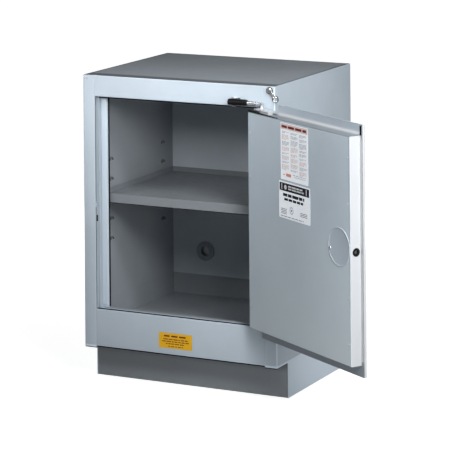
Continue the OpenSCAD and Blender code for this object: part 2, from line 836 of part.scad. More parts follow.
side_left();
side_right();
top_panel();
back_panel();
bottom_panel();
header();
sill();
liner_left();
liner_right();
liner_back();
liner_top();
sump_tray();
toe_kick();
base_rail_left();
base_rail_right();
base_rail_rear();
hinge_stile();
stop_gasket();
wall_hooks();
shelf();
shelf_brackets();
vent_collars();
flame_screens();
vent_plug_lower();
vent_plug_upper();
ground_stud();
ground_nut();
frame_screws();
hinge_leaf_frame();
hinge_leaf_door();
hinge_pin();
door_outer_pan();
door_inner_pan();
door_stiffener();
latch_case();
latch_bolt();
latch_spring();
bolt_bush();
handle_cup();
handle_paddle();
handle_pin();
lock_cylinder();
access_cover();
cover_screw();
door_screws();
chart_label();
notice_label();
sill_label();
closer_bracket();
closer_screws();
closer_cylinder();
closer_rod();
door_bracket();
door_bracket_bolts();
link_stud();
fusible_link();
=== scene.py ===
"""Looks of the flammable storage cabinet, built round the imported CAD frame."""

import json
import math
import random

import bmesh
import bpy
from mathutils import Matrix, Vector


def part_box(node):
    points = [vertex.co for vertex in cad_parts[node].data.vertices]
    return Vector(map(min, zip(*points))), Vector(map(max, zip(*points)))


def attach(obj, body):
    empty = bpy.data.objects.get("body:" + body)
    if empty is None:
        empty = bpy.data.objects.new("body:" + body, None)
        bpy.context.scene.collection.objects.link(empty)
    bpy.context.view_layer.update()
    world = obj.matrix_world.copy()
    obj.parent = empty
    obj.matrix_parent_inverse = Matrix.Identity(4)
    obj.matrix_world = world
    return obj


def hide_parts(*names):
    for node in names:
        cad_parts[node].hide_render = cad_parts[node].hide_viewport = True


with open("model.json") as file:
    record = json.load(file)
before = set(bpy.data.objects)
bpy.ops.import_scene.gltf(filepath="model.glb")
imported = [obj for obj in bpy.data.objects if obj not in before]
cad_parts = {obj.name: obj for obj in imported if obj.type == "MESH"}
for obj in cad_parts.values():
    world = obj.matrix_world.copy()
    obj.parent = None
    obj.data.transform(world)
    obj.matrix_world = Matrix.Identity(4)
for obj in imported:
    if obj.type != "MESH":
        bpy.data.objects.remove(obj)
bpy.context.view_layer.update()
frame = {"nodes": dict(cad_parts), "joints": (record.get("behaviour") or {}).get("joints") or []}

MM = 0.001
SHEET = 1.2 * MM


# ---------------------------------------------------------------- places taken from the frame

def low(node):
    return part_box(node)[0]


def high(node):
    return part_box(node)[1]


def joint(name):
    return next(j for j in frame["joints"] if j["name"] == name)


HALF_W = high("top_panel").x
FRONT = low("sill").y
BACK = high("back_panel").y
TOP = high("top_panel").z
JAMB_X = high("header").x
HEADER_Z = low("header").z
SILL_Z = high("sill").z
BODY_Z = low("sill").z - 3.5 * MM
TOE_Y = low("toe_kick").y - 2 * MM
STOP_Y = high("header").y
STOP_Z = low("stop_gasket").z
LINER_X = high("liner_right").x - SHEET

HINGE = Vector(joint("door_hinge")["pos_m"])
HINGE.z = 0
DOOR_OPEN = math.radians(-joint("door_hinge")["range_deg"][0])
# The door's own axes: X from the hinge to the free edge, Y outwards, Z up
DOOR = Matrix.Translation(HINGE) @ Matrix.Rotation(math.pi + DOOR_OPEN, 4, "Z")
PLUG_W = 503 * MM
PLUG_IN = -29.5 * MM
PLUG_Z0 = low("door_inner_pan").z
PLUG_Z1 = high("door_inner_pan").z
LIP_Y = 2.7 * MM
SKIN_Y = 11.7 * MM
PAN_X0 = 14 * MM
PAN_X1 = PLUG_W + 12 * MM
PAN_Z0 = low("door_outer_pan").z
PAN_Z1 = high("door_outer_pan").z
NOTCH_X = 110 * MM
NOTCH_Z = PLUG_Z1 + 3 * MM
LATCH_Z = (low("latch_case").z + high("latch_case").z) / 2
HANDLE_X = 440 * MM
BOLT_R = 5 * MM
BOLT_Y = -11 * MM
LOCK_Z = LATCH_Z - 62 * MM
COVER_X = 451 * MM
COVER_Z = 514 * MM
COVER_R = 51 * MM


# ---------------------------------------------------------------- mesh tools

def new_object(name, verts, faces, matrix=None, smooth=30):
    mesh = bpy.data.meshes.new(name)
    mesh.from_pydata([tuple(v) for v in verts], [], faces)
    if matrix is not None:
        mesh.transform(matrix)
    bm = bmesh.new()
    bm.from_mesh(mesh)
    bmesh.ops.remove_doubles(bm, verts=bm.verts, dist=1e-6)
    bmesh.ops.recalc_face_normals(bm, faces=bm.faces)
    bm.to_mesh(mesh)
    bm.free()
    mesh.shade_smooth()
    mesh.set_sharp_from_angle(angle=math.radians(smooth))
    obj = bpy.data.objects.new(name, mesh)
    bpy.context.scene.collection.objects.link(obj)
    return obj


def join(name, parts):
    """One object from several, in the order given."""
    bm = bmesh.new()
    for part in parts:
        bm.from_mesh(part.data)
    mesh = bpy.data.meshes.new(name)
    bm.to_mesh(mesh)
    bm.free()
    for part in parts:
        bpy.data.objects.remove(part)
    mesh.set_sharp_from_angle(angle=math.radians(30))
    obj = bpy.data.objects.new(name, mesh)
    bpy.context.scene.collection.objects.link(obj)
    return obj


def bake_modifiers(obj):
    graph = bpy.context.evaluated_depsgraph_get()
    mesh = bpy.data.meshes.new_from_object(obj.evaluated_get(graph))
    obj.modifiers.clear()
    obj.data = mesh
    return obj


def cut(obj, *cutters):
    """Takes the cutters' volumes out of a closed mesh."""
    for cutter in cutters:
        mod = obj.modifiers.new("cut", "BOOLEAN")
        mod.operation = "DIFFERENCE"
        mod.solver = "EXACT"
        mod.object = cutter
        bake_modifiers(obj)
        bpy.data.objects.remove(cutter)
    obj.data.set_sharp_from_angle(angle=math.radians(30))
    return obj


def block(name, a, b, matrix=None, round_by=0.0, segments=3):
    """A box between two corners, its edges rounded."""
    x = sorted((a[0], b[0]))
    y = sorted((a[1], b[1]))
    z = sorted((a[2], b[2]))
    verts = [(i, j, k) for i in x for j in y for k in z]
    faces = [(0, 1, 3, 2), (4, 6, 7, 5), (0, 4, 5, 1), (2, 3, 7, 6), (0, 2, 6, 4), (1, 5, 7, 3)]
    obj = new_object(name, verts, faces, matrix)
    if round_by:
        mod = obj.modifiers.new("round", "BEVEL")
        mod.width = round_by
        mod.segments = segments
        bake_modifiers(obj)
        obj.data.set_sharp_from_angle(angle=math.radians(40))
    return obj


def lathe(name, profile, origin, axis, matrix=None, steps=48):
    """Turns a closed (radius, height) outline about an axis through origin."""
    turn = Vector(axis).to_track_quat("Z", "Y").to_matrix().to_4x4()
    place = Matrix.Translation(Vector(origin)) @ turn
    verts, faces = [], []
    count = len(profile)
    for i in range(steps):
        a = 2 * math.pi * i / steps
        verts += [place @ Vector((r * math.cos(a), r * math.sin(a), h)) for r, h in profile]
    for i in range(steps):
        j = (i + 1) % steps
        for k in range(count):
            m = (k + 1) % count
            if profile[k][0] == 0 and profile[m][0] == 0:
                continue
            faces.append((i * count + k, i * count + m, j * count + m, j * count + k))
    return new_object(name, verts, faces, matrix, 35)


def rod_profile(radius, length, chamfer):
    """Closed outline of a plain bar with chamfered ends, starting at height 0."""
    return [(0, 0), (radius - chamfer, 0), (radius, chamfer), (radius, length - chamfer),
            (radius - chamfer, length), (0, length)]


def ring_profile(inner, outer, height, chamfer):
    return [(inner, 0), (outer - chamfer, 0), (outer, chamfer), (outer, height - chamfer),
            (outer - chamfer, height), (inner, height)]


def rounded_path(points, radius, steps=5):
    """A 2-D polyline with its inner corners turned into arcs: points and the left normals."""
    path = []
    for i, p in enumerate(points):
        p = Vector(p)
        if i in (0, len(points) - 1):
            q = Vector(points[1 if i == 0 else i - 1])
            d = (q - p if i == 0 else p - q).normalized()
            path.append((p, Vector((-d.y, d.x)), 0.0))
            continue
        before = (p - Vector(points[i - 1]))
        after = (Vector(points[i + 1]) - p)
        d0, d1 = before.normalized(), after.normalized()
        turn = math.atan2(d0.cross(d1), d0.dot(d1))
        r = min(radius, 0.45 * before.length / math.tan(abs(turn) / 2), 0.45 * after.length / math.tan(abs(turn) / 2))
        back = r * math.tan(abs(turn) / 2)
        start = p - d0 * back
        side = 1 if turn > 0 else -1
        centre = start + Vector((-d0.y, d0.x)) * r * side
        for k in range(steps + 1):
            a = turn * k / steps
            n = Matrix.Rotation(a, 2) @ Vector((-d0.y, d0.x))
            path.append((centre - n * r * side, n, 0.0))
    return [(p, n) for p, n, _ in path]


PLANES = {
    "xy": lambda a, b, c: (a, b, c),
    "yz": lambda a, b, c: (c, a, b),
    "xz": lambda a, b, c: (a, c, b),
}


def fold(name, points, span, plane, thickness=SHEET, bend=2.5 * MM, matrix=None):
    """Folded sheet: a 2-D path, thickened to its left, drawn along the third axis."""
    path = rounded_path(points, bend)
    place = PLANES[plane]
    verts = []
    for c in span:
        for p, n in path:
            q = p + n * thickness
            verts += [place(p.x, p.y, c), place(q.x, q.y, c)]
    ring = 2 * len(path)
    faces = []
    for i in range(len(path) - 1):
        a, b = 2 * i, 2 * i + 2
        faces.append((a, b, b + ring, a + ring))
        faces.append((a + 1, a + 1 + ring, b + 1 + ring, b + 1))
        faces.append((a, a + 1, b + 1, b))
        faces.append((a + ring, b + ring, b + 1 + ring, a + 1 + ring))
    last = ring - 2
    faces.append((0, ring, ring + 1, 1))
    faces.append((last, last + 1, last + 1 + ring, last + ring))
    return new_object(name, verts, faces, matrix)


def inset_outline(points, by):
    """Moves a rectilinear counter-clockwise outline inwards."""
    moved = []
    count = len(points)
    for i, p in enumerate(points):
        d0 = (Vector(p) - Vector(points[i - 1])).normalized()
        d1 = (Vector(points[(i + 1) % count]) - Vector(p)).normalized()
        moved.append(Vector(p) + (Vector((-d0.y, d0.x)) + Vector((-d1.y, d1.x))) * by)
    return moved


def pan(name, outline, face_y, rim_y, bend, matrix, thickness=SHEET, shift=None, steps=5):
    """Pressed pan: a flat face that rolls over into a side wall all the way round."""
    sign = 1 if rim_y > face_y else -1
    rings = []
    for k in range(steps + 1):
        a = math.pi / 2 * k / steps
        rings.append((inset_outline(outline, bend * (1 - math.sin(a))), face_y + sign * bend * (1 - math.cos(a))))
    rings.append((inset_outline(outline, 0), rim_y))
    if shift:
        rings.insert(-1, (inset_outline(outline, 0), shift[0]))
        rings.insert(-1, ([Vector((max(p.x, shift[1]), p.y)) for p in inset_outline(outline, 0)], shift[0]))
        rings[-1] = ([Vector((max(p.x, shift[1]), p.y)) for p in rings[-1][0]], rim_y)
    count = len(outline)
    verts = [(p.x, y, p.y) for points, y in rings for p in points]
    faces = [tuple(range(count))]
    for r in range(len(rings) - 1):
        for i in range(count):
            j = (i + 1) % count
            faces.append((r * count + i, r * count + j, (r + 1) * count + j, (r + 1) * count + i))
    obj = new_object(name, verts, faces, matrix)
    mod = obj.modifiers.new("sheet", "SOLIDIFY")
    mod.thickness = thickness
    mod.offset = -1
    bake_modifiers(obj)
    obj.data.set_sharp_from_angle(angle=math.radians(30))
    return obj


# ---------------------------------------------------------------- materials

class Shader:
    """A small wrapper that keeps node set-ups short."""

    def __init__(self, name):
        self.material = bpy.data.materials.new(name)
        self.material.use_nodes = True
        self.tree = self.material.node_tree
        self.tree.nodes.clear()
        self.out = self.add("ShaderNodeOutputMaterial")
        self.bsdf = self.add("ShaderNodeBsdfPrincipled")
        self.tree.links.new(self.bsdf.outputs[0], self.out.inputs[0])
        self.coords = self.add("ShaderNodeTexCoord").outputs["Object"]

    def add(self, kind, **values):
        node = self.tree.nodes.new(kind)
        for key, value in values.items():
            if hasattr(node, key):
                setattr(node, key, value)
            else:
                self.feed(node, key, value)
        return node

    def feed(self, node, key, value):
        socket = node.inputs[key.replace("_", " ")]
        if isinstance(value, bpy.types.NodeSocket):
            self.tree.links.new(value, socket)
        else:
            socket.default_value = value

    def noise(self, scale, detail=3.0, roughness=0.5, stretch=None):
        where = self.coords
        if stretch:
            where = self.add("ShaderNodeMapping", Vector=where, Scale=stretch).outputs[0]
        return self.add("ShaderNodeTexNoise", Vector=where, Scale=scale, Detail=detail,
                        Roughness=roughness).outputs["Fac"]

    def spread(self, value, low_in, high_in, low_out, high_out):
        node = self.add("ShaderNodeMapRange", Value=value)
        for key, number in (("From Min", low_in), ("From Max", high_in), ("To Min", low_out), ("To Max", high_out)):
            node.inputs[key].default_value = number
        return node.outputs[0]

    def along(self, axis, zero_at, one_at):
        """A ramp from 0 to 1 between two places on one of the object's axes."""
        place_on = self.add("ShaderNodeSeparateXYZ", Vector=self.coords).outputs[axis]
        return self.spread(place_on, zero_at, one_at, 0.0, 1.0)

    def both(self, operation, a, b):
        """Two factors put together: MAXIMUM is either, MINIMUM is both at once."""
        node = self.tree.nodes.new("ShaderNodeMath")
        node.operation = operation
        self.tree.links.new(a, node.inputs[0])
        self.tree.links.new(b, node.inputs[1])
        return node.outputs[0]

    def mix(self, factor, a, b):
        node = self.tree.nodes.new("ShaderNodeMix")
        node.data_type = "RGBA"
        for key, value in (("Factor", factor), ("A", a), ("B", b)):
            socket = next(s for s in node.inputs if s.name == key and s.type == ("VALUE" if key == "Factor" else "RGBA"))
            if isinstance(value, bpy.types.NodeSocket):
                self.tree.links.new(value, socket)
            else:
                socket.default_value = value
        return next(s for s in node.outputs if s.type == "RGBA")

    def bump(self, height, strength, distance, normal=None):
        node = self.add("ShaderNodeBump", Height=height, Strength=strength, Distance=distance)
        if normal:
            self.feed(node, "Normal", normal)
        return node.outputs[0]

    def finish(self, **values):
        for key, value in values.items():
            self.feed(self.bsdf, key, value)
        return self.material


def rgb(r, g, b):
    return (r, g, b, 1.0)


def shade(colour, by):
    return rgb(*(min(1.0, c * by) for c in colour[:3]))


def paint(name, colour, gloss=0.42, variation=0.05, dark=None, bright=None):
    """Powder coat: fine orange peel, faint clouding, scuffs that change the sheen.

    dark and bright give factors from 0 to 1 that darken the coat with painted shade,
    or lighten it with painted light and painted highlights.
    """
    s = Shader(name)
    clouds = s.noise(5.0, 4.0, 0.6)
    tint = s.mix(s.spread(clouds, 0.3, 0.7, 0.0, 1.0), shade(colour, 1 - variation), shade(colour, 1 + variation))
    scuffs = s.noise(38.0, 6.0, 0.7, (1.0, 1.0, 0.25))
    sheen = s.spread(scuffs, 0.35, 0.75, gloss - 0.05, gloss + 0.09)
    specks = s.spread(s.noise(420.0, 2.0), 0.62, 0.78, 0.0, 0.35)
    tint = s.mix(specks, tint, shade(colour, 0.86))
    # painted shade and painted light are mixed into the colour here
    if dark:
        tint = s.mix(dark(s), tint, shade(colour, 0.4))
    if bright:
        tint = s.mix(bright(s), tint, shade(colour, 1.5))
    peel = s.bump(s.noise(700.0, 2.0, 0.5), 0.18, 0.00012)
    peel = s.bump(s.noise(9.0, 2.0, 0.4), 0.12, 0.0006, peel)
    return s.finish(Base_Color=tint, Roughness=sheen, Normal=peel, Specular_IOR_Level=0.5,
                    Coat_Weight=0.08, Coat_Roughness=0.25)


def metal(name, colour, rough, streak=(1.0, 1.0, 12.0), contrast=0.12, metallic=1.0):
    """Bare or plated metal with drawn streaks and a mottled sheen."""
    s = Shader(name)
    streaks = s.noise(260.0, 4.0, 0.65, streak)
    spots = s.noise(70.0, 3.0, 0.6)
    tint = s.mix(s.spread(streaks, 0.3, 0.7, 0.0, 1.0), shade(colour, 1 - contrast), shade(colour, 1 + contrast))
    sheen = s.spread(spots, 0.3, 0.7, max(0.03, rough - 0.06), rough + 0.1)
    grain = s.bump(streaks, 0.15, 0.00006)
    return s.finish(Base_Color=tint, Metallic=metallic, Roughness=sheen, Normal=grain)


def moulded(name, colour, rough, bump=0.25):
    """Moulded rubber or plastic with a fine grain and dusty patches."""
    s = Shader(name)
    dust = s.spread(s.noise(24.0, 5.0, 0.65), 0.45, 0.8, 0.0, 0.5)
    tint = s.mix(dust, colour, rgb(*(c + 0.006 for c in colour[:3])))
    grain = s.bump(s.noise(1400.0, 2.0), bump, 0.0001)
    return s.finish(Base_Color=tint, Roughness=s.spread(s.noise(60.0), 0.3, 0.7, rough - 0.06, rough + 0.08),
                    Normal=grain, Specular_IOR_Level=0.2)


def film(name, colour, rough=0.35, glow=0.0):
    """Printed label stock: slight unevenness and a soft sheen; glow is steady emission in the paper's colour, painted
    light that makes the paper brighter and bluer.
    """
    s = Shader(name)
    tint = s.mix(s.spread(s.noise(55.0, 4.0, 0.6), 0.35, 0.7, 0.0, 1.0), shade(colour, 0.96), shade(colour, 1.02))
    ripple = s.bump(s.noise(30.0, 2.0), 0.1, 0.0004)
    return s.finish(Base_Color=tint, Roughness=s.spread(s.noise(90.0), 0.3, 0.7, rough - 0.05, rough + 0.1), Normal=ripple, Specular_IOR_Level=0.2,
                    Emission_Color=colour, Emission_Strength=glow)


def grey(level, cool=1.0):
    """The cabinet's cool grey at a given lightness; less cool is nearer a neutral grey."""
    return rgb((1 - 0.13 * cool) * level, level, min(1.0, (1 + 0.125 * cool) * level))


def top_rim_shade(s):
    """Painted shade: 1 at the front and side rims of the top, falling to 0 a little way in."""
    front = s.along("Y", FRONT + 48 * MM, FRONT + 34 * MM)
    right = s.along("X", HALF_W - 10 * MM, HALF_W - 4 * MM)
    left = s.along("X", -HALF_W + 10 * MM, -HALF_W + 4 * MM)
    return s.both("MAXIMUM", front, s.both("MAXIMUM", right, left))


def edge_highlights(s):
    """Painted highlight: 1 on everything lower than 5 mm above the body's bottom edge, the side panels' base part
    included, and along the body's right front corner.
    """
    foot = s.along("Z", BODY_Z + 6.4 * MM, BODY_Z + 5 * MM)
    front = s.along("Y", FRONT + 2.4 * MM, FRONT + 1 * MM)
    right = s.both("MINIMUM", front, s.along("X", HALF_W - 2.4 * MM, HALF_W - 1 * MM))
    return s.both("MAXIMUM", foot, right)


def toe_corner_highlight(s):
    """Painted highlight: 1 along the toe kick's right front corner."""
    front = s.along("Y", TOE_Y + 3.4 * MM, TOE_Y + 2 * MM)
    return s.both("MINIMUM", front, s.along("X", HALF_W - 3.4 * MM, HALF_W - 1.6 * MM))


def crease_shade(s):
    """Painted shade: 1 where the cove runs down to the top of the inner pan, falling to 0 halfway up it."""
    return s.along("Z", PLUG_Z1 + 5.5 * MM, PLUG_Z1 + 1 * MM)


def low_door_light(s):
    """Painted light: the door face is painted lighter towards the bottom of the door."""
    return s.spread(s.add("ShaderNodeSeparateXYZ", Vector=s.coords).outputs["Z"], 0.25, 0.62, 0.52, 0.0)


def free_edge_shade(s):
    """Painted shade: a fainter darkening along the inner pan's free edge."""
    out = DOOR.to_3x3() @ Vector((1, 0, 0))
    dot = s.add("ShaderNodeVectorMath", operation="DOT_PRODUCT", Vector=s.coords)
    dot.inputs[1].default_value = out
    u = dot.outputs["Value"]
    edge = HINGE.dot(out) + PLUG_W
    return s.spread(u, edge - 7 * MM, edge - 4 * MM, 0.0, 0.55)


def under_body_shade(s):
    """Painted shade: 1 just under the body, falling to 0 further down the toe kick."""
    return s.along("Z", BODY_Z - 30 * MM, BODY_Z)


# Body grey with painted highlights along its foot and right front corner.
BODY = paint("body_paint", grey(0.58), bright=edge_highlights)
# Painted shade: a darker copy of the body grey for the reveal faces.
REVEAL_SHADE = paint("reveal_shade_paint", grey(0.42))
# Cove grey with painted shade towards the crease.
COVE = paint("cove_paint", grey(0.62, 0.5), 0.4, 0.02, dark=crease_shade)
# Painted shade: a darker copy of the door grey for the lower flange under the inner pan.
DOOR_FOOT_SHADE = paint("door_foot_shade_paint", grey(0.33))
# Painted shade: a darker copy of the door grey for the inner pan's upward faces.
DOOR_TOP_SHADE = paint("door_top_shade_paint", grey(0.24))
# Door face with painted shade along the free edge and painted light low down.
DOOR_FACE = paint("door_face_paint", grey(0.64), dark=free_edge_shade, bright=low_door_light)
# Back liner grey in the more neutral tint of the shaded parts: painted shade in its tint.
LINER_BACK = paint("liner_back_paint", grey(0.58, 0.7), 0.5)
# Painted shade: a darker, more neutral copy of the body grey for the flat top, darker still at its rims.
TOP_SHADE = paint("top_paint", grey(0.29, 0.8), 0.75, dark=top_rim_shade)
# Liner grey in the more neutral tint of the shaded parts: painted shade in its tint.
LINER = paint("liner_paint", grey(0.31, 0.7), 0.5)
# Painted shade: a darker copy of the liner grey for the shelf.
SHELF_SHADE = paint("shelf_shade_paint", grey(0.22, 0.7), 0.5)
HOOK = paint("hook_paint", grey(0.12, 0.5), 0.4)
# Toe kick grey in the more neutral tint of the shaded parts, with painted shade under the body and a painted highlight
# on its right front corner.
TOE = paint("toe_paint", grey(0.34, 0.7), 0.5, dark=under_body_shade, bright=toe_corner_highlight)
DOOR_IN = paint("door_paint", grey(0.64))
# The door grey in a more neutral tint for the free edges, for the highlight they catch: painted highlight in its tint.
DOOR_EDGE = paint("door_edge_paint", grey(0.57, 0.3), 0.4, 0.02)
ZINC = metal("zinc_plate", rgb(0.72, 0.73, 0.75), 0.35, metallic=0.5)
CHROME = metal("chrome", rgb(0.88, 0.89, 0.91), 0.12, (1.0, 1.0, 4.0), 0.04, 0.85)
STEEL = metal("drawn_steel", rgb(0.6, 0.61, 0.62), 0.32, (8.0, 1.0, 1.0))
BRASS = metal("brass", rgb(0.72, 0.55, 0.26), 0.3)
MESH = metal("screen_wire", rgb(0.42, 0.42, 0.43), 0.4, (20.0, 20.0, 20.0))
CAST = paint("cast_paint", grey(0.34), 0.45, 0.1)
BLACK = moulded("black_enamel", rgb(0.004, 0.004, 0.005), 0.4, 0.08)
# Black rubber for the bolt bush, also used for black strips that stand in for shadow: painted shadow.
RUBBER_AND_SHADOW = moulded("rubber_and_shadow_black", rgb(0.006, 0.006, 0.007), 0.8)
SEAL = moulded("pale_seal", grey(0.68), 0.6)
# The white label film glows a little: painted light.
WHITE_FILM = film("label_white", rgb(0.89, 0.94, 1.0), glow=0.2)
YELLOW_FILM = film("label_yellow", rgb(0.86, 0.47, 0.02))
INK_BLACK = film("ink_black", rgb(0.012, 0.013, 0.02), 0.45)
INK_WHITE = film("ink_white", rgb(0.75, 0.76, 0.78), 0.45)
INK_GREY = film("ink_grey", rgb(0.30, 0.31, 0.38), 0.45)
INK_SOFT = film("ink_soft", rgb(0.50, 0.50, 0.55), 0.45)
INK_ORANGE = film("ink_orange", rgb(0.80, 0.34, 0.26), 0.45)
BAND = film("band_salmon", rgb(0.86, 0.70, 0.68), 0.45)
INK_PALE = film("ink_pale", rgb(0.74, 0.58, 0.54), 0.45)
INK_BROWN = film("ink_brown", rgb(0.16, 0.035, 0.02), 0.45)
INK_RED = film("ink_red", rgb(0.20, 0.02, 0.015), 0.45)


# ---------------------------------------------------------------- putting pieces in place

def place(obj, body, material, slot, *replaced):
    """Gives a piece its material and body, and hides the CAD nodes it stands for."""
    obj.data.materials.clear()
    obj.data.materials.append(material)
    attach(obj, body)
    if replaced:
        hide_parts(*replaced)
    return obj


def dress(material, *nodes, soften=0.0):
    """Puts a material on CAD nodes whose shape is kept, and breaks their sharp edges."""
    for node in nodes:
        obj = frame["nodes"][node]
        obj.data.materials.clear()
        obj.data.materials.append(material)
        if soften:
            mod = obj.modifiers.new("soften", "BEVEL")
            mod.width = soften
            mod.segments = 2
            mod.limit_method = "ANGLE"
            mod.angle_limit = math.radians(50)
            mod.harden_normals = True


def paint_where(obj, material, test):
    """Gives the faces that pass a test a second material."""
    obj.data.materials.append(material)
    index = len(obj.data.materials) - 1
    for face in obj.data.polygons:
        if test(face):
            face.material_index = index


# ---------------------------------------------------------------- cabinet body

def side_panel(side):
    """Outer wall, jamb and reveal folded from one sheet, with the stop fixed behind."""
    name = "left" if side < 0 else "right"
    s = side
    wall_top = high("side_" + name).z
    step_x = JAMB_X - 5.5 * MM
    stop_x = step_x - 19.5 * MM
    reveal_y = FRONT + 16 * MM
    jamb_back = STOP_Y + 12 * MM
    edge = JAMB_X + 0.1 * MM
    outer = [(s * HALF_W, BACK), (s * HALF_W, FRONT), (s * edge, FRONT), (s * edge, reveal_y)]
    inner = [(s * (edge + SHEET), reveal_y - SHEET), (s * step_x, reveal_y - SHEET), (s * step_x, STOP_Y),
             (s * stop_x, STOP_Y), (s * stop_x, jamb_back), (s * (LINER_X + SHEET), jamb_back)]
    thick = SHEET * (1 if s < 0 else -1)
    shell = fold("shell_" + name, outer, (0, wall_top), "xy", thick, 3 * MM)
    margin = 5 * MM
    toe = block("toe_cut", (s * (HALF_W + margin), FRONT - margin, -margin), (s * (LINER_X - margin), TOE_Y, BODY_Z))
    holes = [toe, lathe("hem_hole", rod_profile(1.6 * MM, 6 * MM, 0.1 * MM),
                        (s * (HALF_W - 13 * MM), FRONT - 3 * MM, TOP - 11 * MM), (0, 1, 0))]
    if s < 0:
        slot_z = LATCH_Z - 41 * MM
        holes.append(block("slot", (-edge - margin, FRONT + 3.2 * MM, slot_z - 9 * MM),
                           (-edge + margin, FRONT + 12.2 * MM, slot_z + 9 * MM), None, 1.5 * MM))
        holes.append(lathe("strike", rod_profile(BOLT_R + 0.6 * MM, 10 * MM, 0.1 * MM),
                           (-edge - margin, HINGE.y - BOLT_Y, LATCH_Z), (1, 0, 0)))
    cut(shell, *holes)
    stop = fold("stop_" + name, inner, (SILL_Z + 0.7 * MM, HEADER_Z - 0.5 * MM), "xy", thick, 2 * MM)
    parts = [shell, stop]
    if s < 0:
        hole, wall, deep = BOLT_R + 0.6 * MM, 0.8 * MM, 8 * MM
        cup = [(0, deep - wall), (hole, deep - wall), (hole, 0.2 * MM), (hole + wall, 0.2 * MM),
               (hole + wall, deep), (0, deep)]
        parts.append(lathe("strike_cup", cup, (-edge, HINGE.y - BOLT_Y, LATCH_Z), (-1, 0, 0)))
    obj = join("side_panel_" + name, parts)
    place(obj, "cabinet", BODY, "body_paint", "side_" + name)
    # Painted shade on the reveal faces.
    paint_where(obj, REVEAL_SHADE, lambda face: step_x - 1 * MM < abs(face.center.x) < edge + 1 * MM
                and FRONT + 1 * MM < face.center.y < STOP_Y - 1 * MM)


def header_and_sill():
    x = JAMB_X - 0.4 * MM
    z1 = high("header").z
    lower = HEADER_Z + 0.2 * MM
    path = [(STOP_Y, high("liner_top").z - 2 * MM), (STOP_Y, lower), (FRONT, lower), (FRONT, TOP - 5.3 * MM)]
    obj = fold("header_panel", path, (-x, x), "yz", -SHEET, 2.5 * MM)
    place(obj, "cabinet", BODY, "body_paint", "header")
    z0 = low("sill").z
    path = [(FRONT + 16 * MM, z0), (FRONT, z0), (FRONT, SILL_Z), (STOP_Y, SILL_Z), (STOP_Y, SILL_Z - 14 * MM)]
    obj = fold("sill_panel", path, (-x, x), "yz", -SHEET, 3 * MM)
    place(obj, "cabinet", BODY, "body_paint", "sill")


def top_cover():
    outline = [(-HALF_W, FRONT), (HALF_W, FRONT), (HALF_W, BACK), (-HALF_W, BACK)]
    upright = Matrix(((1, 0, 0, 0), (0, 0, 1, 0), (0, 1, 0, 0), (0, 0, 0, 1)))
    obj = pan("top_cover", outline, TOP, TOP - 5 * MM, 2.5 * MM, upright)
    place(obj, "cabinet", BODY, "top_paint", "top_panel")
    # Painted shade: the flat top is painted darker.
    paint_where(obj, TOP_SHADE, lambda face: abs(face.normal.z) > 0.8)


def painted_shadow_strips():
    """Narrow black strips, painted shadow: they stand for the shadow behind the stops, along the left reveal and in
    the latch slot, under the header, along the sill and under the body.
    """
    stop_x = JAMB_X - 25 * MM
    strips = []
    for s in (-1, 1):
        strips.append(block("liner_edge", (s * stop_x, STOP_Y + 4 * MM, SILL_Z + 2 * MM),
                            (s * (stop_x - 0.5 * MM), STOP_Y + 12 * MM, HEADER_Z - 2 * MM)))
        strips.append(block("side_foot", (s * (HALF_W - 1.4 * MM), FRONT + 2 * MM, BODY_Z - 2.6 * MM),
                            (s * (HALF_W - 4 * MM), TOE_Y, BODY_Z + 1 * MM)))
        strips.append(block("jamb_foot", (s * (HALF_W - 1.4 * MM), FRONT + 1.4 * MM, BODY_Z - 2.6 * MM),
                            (s * JAMB_X, FRONT + 4 * MM, BODY_Z + 1 * MM)))
    slot_z = LATCH_Z - 41 * MM
    for z0, z1 in ((SILL_Z + 2 * MM, slot_z - 10 * MM), (slot_z + 10 * MM, LATCH_Z - 9 * MM),
                   (LATCH_Z + 9 * MM, HEADER_Z - 2 * MM)):
        strips.append(block("reveal_line", (-JAMB_X, FRONT + 2 * MM, z0), (-JAMB_X + 0.3 * MM, FRONT + 4 * MM, z1)))
    strips.append(block("slot_back", (-JAMB_X - 0.9 * MM, FRONT + 3.6 * MM, slot_z - 9 * MM),
                        (-JAMB_X + 0.25 * MM, FRONT + 13 * MM, slot_z + 9 * MM)))
    strips.append(block("header_shadow_strip", (-JAMB_X + 6 * MM, FRONT + 13.5 * MM, HEADER_Z - 4.7 * MM),
                        (JAMB_X - 28 * MM, FRONT + 16.5 * MM, HEADER_Z + 1 * MM)))
    strips.append(block("sill_shadow_strip", (-JAMB_X + 2 * MM, FRONT + 3 * MM, SILL_Z),
                        (JAMB_X - 20 * MM, FRONT + 6 * MM, SILL_Z + 2.4 * MM)))
    under_sill = low("sill").z
    strips.append(block("sill_foot", (-JAMB_X + 1 * MM, FRONT + 1.4 * MM, under_sill - 2.6 * MM),
                        (JAMB_X - 1 * MM, FRONT + 4 * MM, under_sill + 1 * MM)))
    place(join("painted_shadow_strips", strips), "cabinet", RUBBER_AND_SHADOW, "gasket_rubber")


def shelf_shadow_strip():
    """Painted shadow: a black strip along the bottom of the shelf's front lip, for the shadow under it."""
    lo, hi = low("shelf"), high("shelf")
    strip = block("shelf_shadow_strip", (lo.x + 2 * MM, lo.y + 0.6 * MM, lo.z - 2.6 * MM),
                  (hi.x - 2 * MM, lo.y + 3 * MM, lo.z + 0.4 * MM))
    place(strip, "shelf", RUBBER_AND_SHADOW, "gasket_rubber")


def seam_backs():
    """Painted backing behind the seams beside the header and the sill."""
    parts = []
    for s in (-1, 1):
        for z0, z1 in ((HEADER_Z + 1 * MM, TOP - 6 * MM), (low("sill").z + 1 * MM, SILL_Z - 1 * MM)):
            parts.append(block("seam_back", (s * (JAMB_X - 6 * MM), FRONT + 0.9 * MM, z0),
                               (s * (JAMB_X + 6 * MM), FRONT + 1.6 * MM, z1)))
    place(join("seam_backs", parts), "cabinet", BODY, "body_paint")


